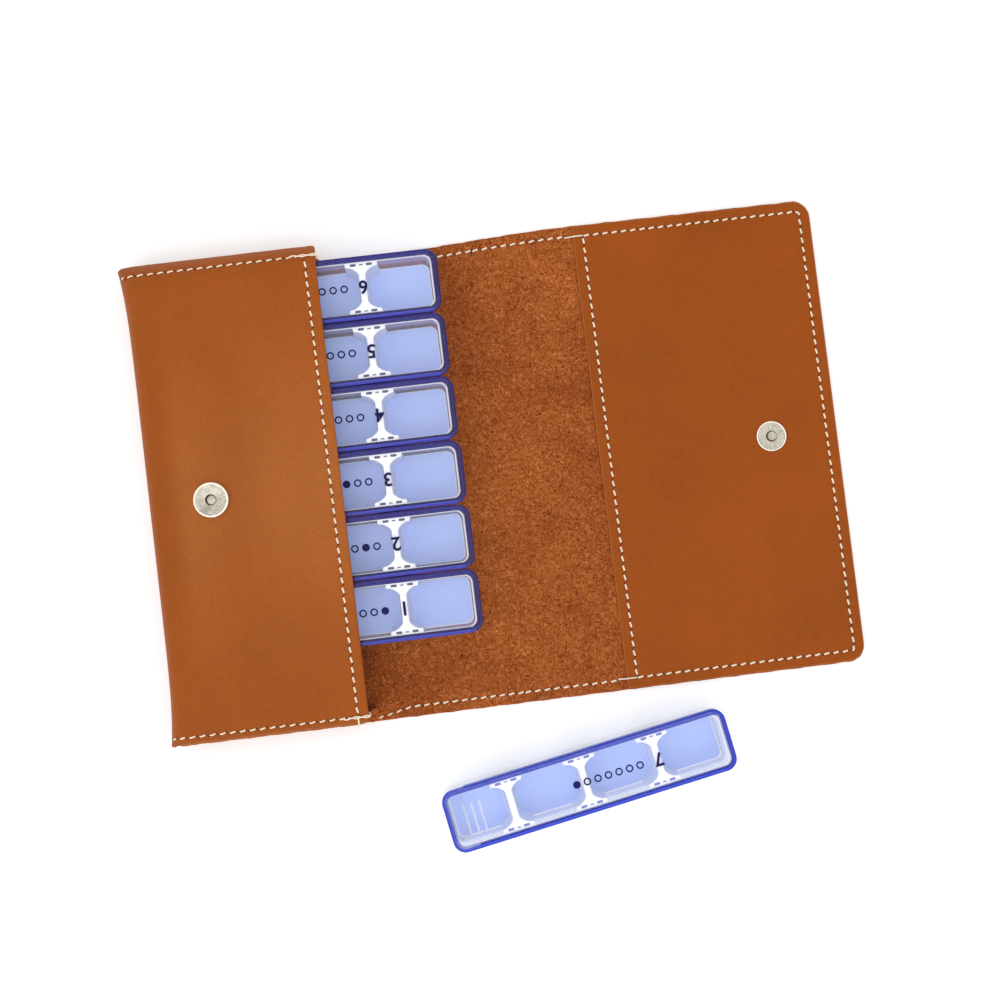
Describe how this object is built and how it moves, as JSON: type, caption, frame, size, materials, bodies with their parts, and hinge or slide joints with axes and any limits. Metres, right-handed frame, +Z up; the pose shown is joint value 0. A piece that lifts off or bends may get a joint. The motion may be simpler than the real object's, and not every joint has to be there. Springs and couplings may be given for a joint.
{
  "type": "pill organizer",
  "caption": "Leather fold-over wallet with a pocket of slide-out pill strips, each with a sliding lid over its compartments, and a flap with a magnetic snap.",
  "frame": {"origin": "on the underside of the back panel, midway between the pocket fold and the first crease", "axes": "+X from the pocket to the flap, +Y across the strips, +Z up from the table"},
  "size_m": [0.2831, 0.247, 0.0253],
  "materials": {
    "leather_smooth": "smooth grain",
    "leather_suede": "rough suede",
    "leather_facing": "smooth grain",
    "thread": "waxed thread",
    "nickel": "brushed nickel",
    "magnet": "sintered ferrite",
    "tray_plastic": "clear with frosted floors",
    "lid_plastic": "clear blue"
  },
  "bodies": {
    "case": {"cover_pocket": "leather_smooth", "gusset_upper": "leather_smooth", "gusset_lower": "leather_smooth", "pocket_thread": "thread", "back_thread": "thread", "snap_socket_case": "nickel", "snap_socket_base": "nickel", "snap_socket_magnet": "magnet", "snap_socket_washer": "nickel"},
    "spine": {"spine_panel": "leather_suede", "spine_thread": "thread"},
    "flap": {"flap_panel": "leather_suede", "flap_facing": "leather_facing", "flap_thread": "thread", "snap_stud_plate": "nickel", "snap_stud_post": "nickel", "snap_stud_washer": "nickel"},
    "strip_1": {"day_1_tray": "tray_plastic"},
    "lid_1": {"day_1_lid": "lid_plastic"},
    "strip_2": {"day_2_tray": "tray_plastic"},
    "lid_2": {"day_2_lid": "lid_plastic"},
    "strip_3": {"day_3_tray": "tray_plastic"},
    "lid_3": {"day_3_lid": "lid_plastic"},
    "strip_4": {"day_4_tray": "tray_plastic"},
    "lid_4": {"day_4_lid": "lid_plastic"},
    "strip_5": {"day_5_tray": "tray_plastic"},
    "lid_5": {"day_5_lid": "lid_plastic"},
    "strip_6": {"day_6_tray": "tray_plastic"},
    "lid_6": {"day_6_lid": "lid_plastic"},
    "strip_7": {"day_7_tray": "tray_plastic"},
    "lid_7": {"day_7_lid": "lid_plastic"}
  },
  "joints": [
    {"name": "spine_fold", "type": "hinge", "parent": "case", "child": "spine", "pos_m": [0.064, 0, 0.0015], "axis": [0, 1, 0], "range_deg": [-90, 0]},
    {"name": "flap_fold", "type": "hinge", "parent": "spine", "child": "flap", "pos_m": [0.09009, 0, 0.0015], "axis": [0, 1, 0], "range_deg": [-90, 0]},
    {"name": "strip_1_slide", "type": "slide", "parent": "case", "child": "strip_1", "axis": [0.9996, 0, 0.0277], "range_m": [0, 0.075]},
    {"name": "lid_1_slide", "type": "slide", "parent": "strip_1", "child": "lid_1", "axis": [1, 0, 0], "range_m": [0, 0.118]},
    {"name": "strip_2_slide", "type": "slide", "parent": "case", "child": "strip_2", "axis": [0.9996, 0, 0.0277], "range_m": [0, 0.075]},
    {"name": "lid_2_slide", "type": "slide", "parent": "strip_2", "child": "lid_2", "axis": [1, 0, 0], "range_m": [0, 0.118]},
    {"name": "strip_3_slide", "type": "slide", "parent": "case", "child": "strip_3", "axis": [0.9996, 0, 0.0277], "range_m": [0, 0.075]},
    {"name": "lid_3_slide", "type": "slide", "parent": "strip_3", "child": "lid_3", "axis": [1, 0, 0], "range_m": [0, 0.118]},
    {"name": "strip_4_slide", "type": "slide", "parent": "case", "child": "strip_4", "axis": [0.9996, 0, 0.0277], "range_m": [0, 0.075]},
    {"name": "lid_4_slide", "type": "slide", "parent": "strip_4", "child": "lid_4", "axis": [1, 0, 0], "range_m": [0, 0.118]},
    {"name": "strip_5_slide", "type": "slide", "parent": "case", "child": "strip_5", "axis": [0.9996, 0, 0.0277], "range_m": [0, 0.075]},
    {"name": "lid_5_slide", "type": "slide", "parent": "strip_5", "child": "lid_5", "axis": [1, 0, 0], "range_m": [0, 0.118]},
    {"name": "strip_6_slide", "type": "slide", "parent": "case", "child": "strip_6", "axis": [0.9996, 0, 0.0277], "range_m": [0, 0.075]},
    {"name": "lid_6_slide", "type": "slide", "parent": "strip_6", "child": "lid_6", "axis": [1, 0, 0], "range_m": [0, 0.118]},
    {"name": "strip_7_lift", "type": "slide", "parent": "case", "child": "strip_7", "axis": [0, 0, 1], "range_m": [0, 0.06]},
    {"name": "lid_7_slide", "type": "slide", "parent": "strip_7", "child": "lid_7", "axis": [0.9848, 0.1736, 0], "range_m": [0, 0.118]}
  ]
}
